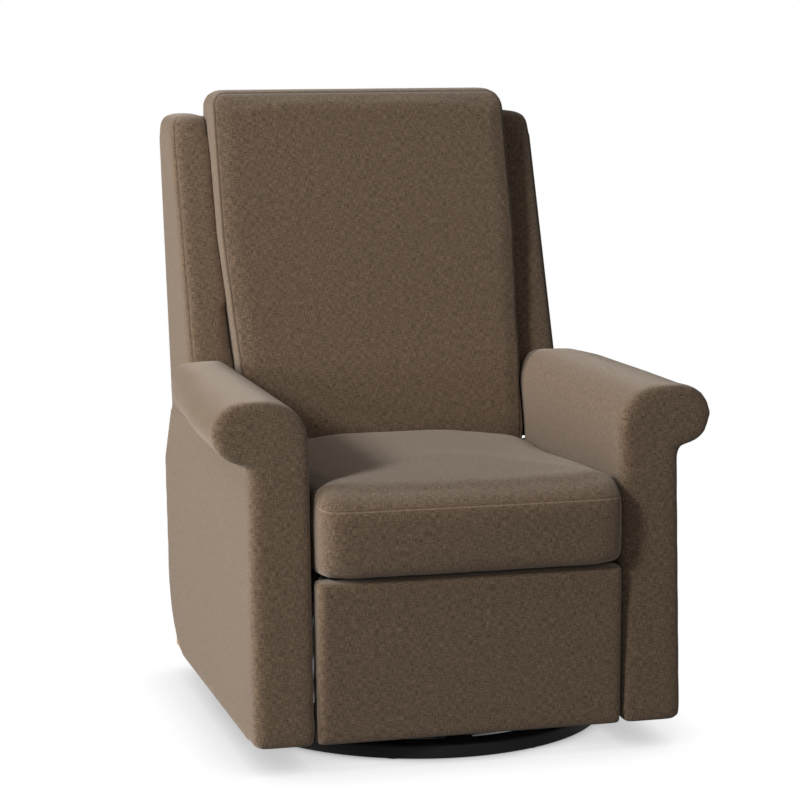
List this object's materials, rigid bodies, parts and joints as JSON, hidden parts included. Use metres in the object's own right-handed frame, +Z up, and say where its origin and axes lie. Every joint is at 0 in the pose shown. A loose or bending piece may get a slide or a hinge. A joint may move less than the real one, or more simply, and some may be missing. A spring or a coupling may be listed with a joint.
{
  "type": "swivel glider recliner",
  "caption": "Fabric armchair on a round turning base that glides, reclines and raises a linked footrest.",
  "frame": {"origin": "on the floor, in the middle of the closed chair's footprint", "axes": "+X to the sitter's left, +Y towards the back, +Z up; the chair faces -Y"},
  "size_m": [0.861, 0.96, 1.086],
  "materials": {
    "fabric": "woven",
    "black_steel": "satin",
    "zinc_steel": "zinc plated",
    "bright_steel": "turned",
    "nylon": "moulded",
    "rubber": "matte",
    "wood": "raw plywood",
    "webbing": "woven"
  },
  "bodies": {
    "base": {"floor_pads": "rubber", "base_ring": "black_steel", "base_spider": "black_steel", "base_hub": "black_steel", "swivel_lower_plate": "black_steel", "swivel_bearing": "nylon", "swivel_pintle": "bright_steel"},
    "swivel_frame": {"swivel_upper_plate": "black_steel", "swivel_frame_rails": "black_steel", "glide_posts": "black_steel", "glide_upper_pins": "bright_steel"},
    "rear_glide": {"rear_glide_links": "zinc_steel"},
    "front_glide": {"front_glide_links": "zinc_steel"},
    "chassis": {"hanger_plates": "black_steel", "chassis_tubes": "black_steel", "glide_lower_pins": "bright_steel", "chassis_plates": "zinc_steel", "arm_cleats": "wood", "arm_bolts": "bright_steel", "arm_inner_boards": "wood", "arm_frames": "wood", "arm_cover_left": "fabric", "arm_cover_right": "fabric", "outside_arm_left": "fabric", "outside_arm_right": "fabric", "arm_rear_left": "fabric", "arm_rear_right": "fabric", "release_pin": "bright_steel"},
    "seat": {"seat_plates": "zinc_steel", "roller_axles": "bright_steel", "seat_rollers": "nylon", "seat_screws": "bright_steel", "seat_frame": "wood", "seat_webbing": "webbing", "seat_deck": "webbing", "seat_cushion": "fabric", "rivets_seat": "bright_steel"},
    "drive_link": {"drive_links": "zinc_steel", "rivets_drive": "bright_steel"},
    "idler_link": {"idler_links": "zinc_steel"},
    "long_link": {"long_links": "zinc_steel", "link_cross_tube": "black_steel", "rivets_long": "bright_steel"},
    "upper_link": {"upper_links": "zinc_steel"},
    "footrest": {"footrest_brackets": "zinc_steel", "footrest_board": "wood", "footrest_pad": "fabric", "rivets_footrest": "bright_steel"},
    "back": {"back_frame": "wood", "back_bracket_bolts": "bright_steel", "back_brackets": "zinc_steel", "back_webbing": "webbing", "back_padding": "fabric", "wing_left": "fabric", "wing_right": "fabric", "outside_back": "fabric", "back_cushion": "fabric"},
    "release": {"release_lever": "zinc_steel"}
  },
  "joints": [
    {"name": "swivel", "type": "hinge", "parent": "base", "child": "swivel_frame", "pos_m": [0, -0.103, 0.027], "axis": [0, 0, 1], "continuous": true},
    {"name": "glide", "type": "hinge", "parent": "swivel_frame", "child": "rear_glide", "pos_m": [0, 0.047, 0.19], "axis": [-1, 0, 0], "range_deg": [-20, 20]},
    {"name": "glide_front", "type": "hinge", "parent": "swivel_frame", "child": "front_glide", "pos_m": [0, -0.253, 0.19], "axis": [-1, 0, 0], "range_deg": [-20, 20]},
    {"name": "glide_level", "type": "hinge", "parent": "rear_glide", "child": "chassis", "pos_m": [0, 0.047, 0.07], "axis": [-1, 0, 0], "range_deg": [-20, 20]},
    {"name": "seat_advance", "type": "slide", "parent": "chassis", "child": "seat", "axis": [0, -1, 0], "range_m": [0, 0.05]},
    {"name": "recline", "type": "hinge", "parent": "seat", "child": "back", "pos_m": [0, 0.142, 0.3], "axis": [-1, 0, 0], "range_deg": [0, 32]},
    {"name": "footrest", "type": "hinge", "parent": "seat", "child": "drive_link", "pos_m": [0, -0.308, 0.25], "axis": [-1, 0, 0], "range_deg": [0, 90]},
    {"name": "footrest_idler", "type": "hinge", "parent": "seat", "child": "idler_link", "pos_m": [0, -0.34685, 0.30212], "axis": [-1, 0, 0], "range_deg": [0, 90]},
    {"name": "footrest_long", "type": "hinge", "parent": "drive_link", "child": "long_link", "pos_m": [0, -0.243, 0.072], "axis": [-1, 0, 0], "range_deg": [-90, 0]},
    {"name": "footrest_upper", "type": "hinge", "parent": "drive_link", "child": "upper_link", "pos_m": [0, -0.25672, 0.10957], "axis": [-1, 0, 0], "range_deg": [-90, 0]},
    {"name": "footrest_tilt", "type": "hinge", "parent": "long_link", "child": "footrest", "pos_m": [0, -0.38308, 0.25993], "axis": [-1, 0, 0], "range_deg": [0, 90]},
    {"name": "release", "type": "hinge", "parent": "chassis", "child": "release", "pos_m": [-0.26, -0.128, 0.264], "axis": [-1, 0, 0], "range_deg": [0, 22], "stiffness_Nm_per_rad": 1.2, "springref_deg": -5.73}
  ],
  "couplings": [
    {"joint": "glide_front", "follows": "glide", "ratio": 1},
    {"joint": "glide_level", "follows": "glide", "ratio": -1},
    {"joint": "seat_advance", "follows": "recline", "m_per_rad": 0.0894},
    {"joint": "footrest_idler", "follows": "footrest", "ratio": 1},
    {"joint": "footrest_long", "follows": "footrest", "ratio": -1},
    {"joint": "footrest_upper", "follows": "footrest", "ratio": -1},
    {"joint": "footrest_tilt", "follows": "footrest", "ratio": 1}
  ]
}
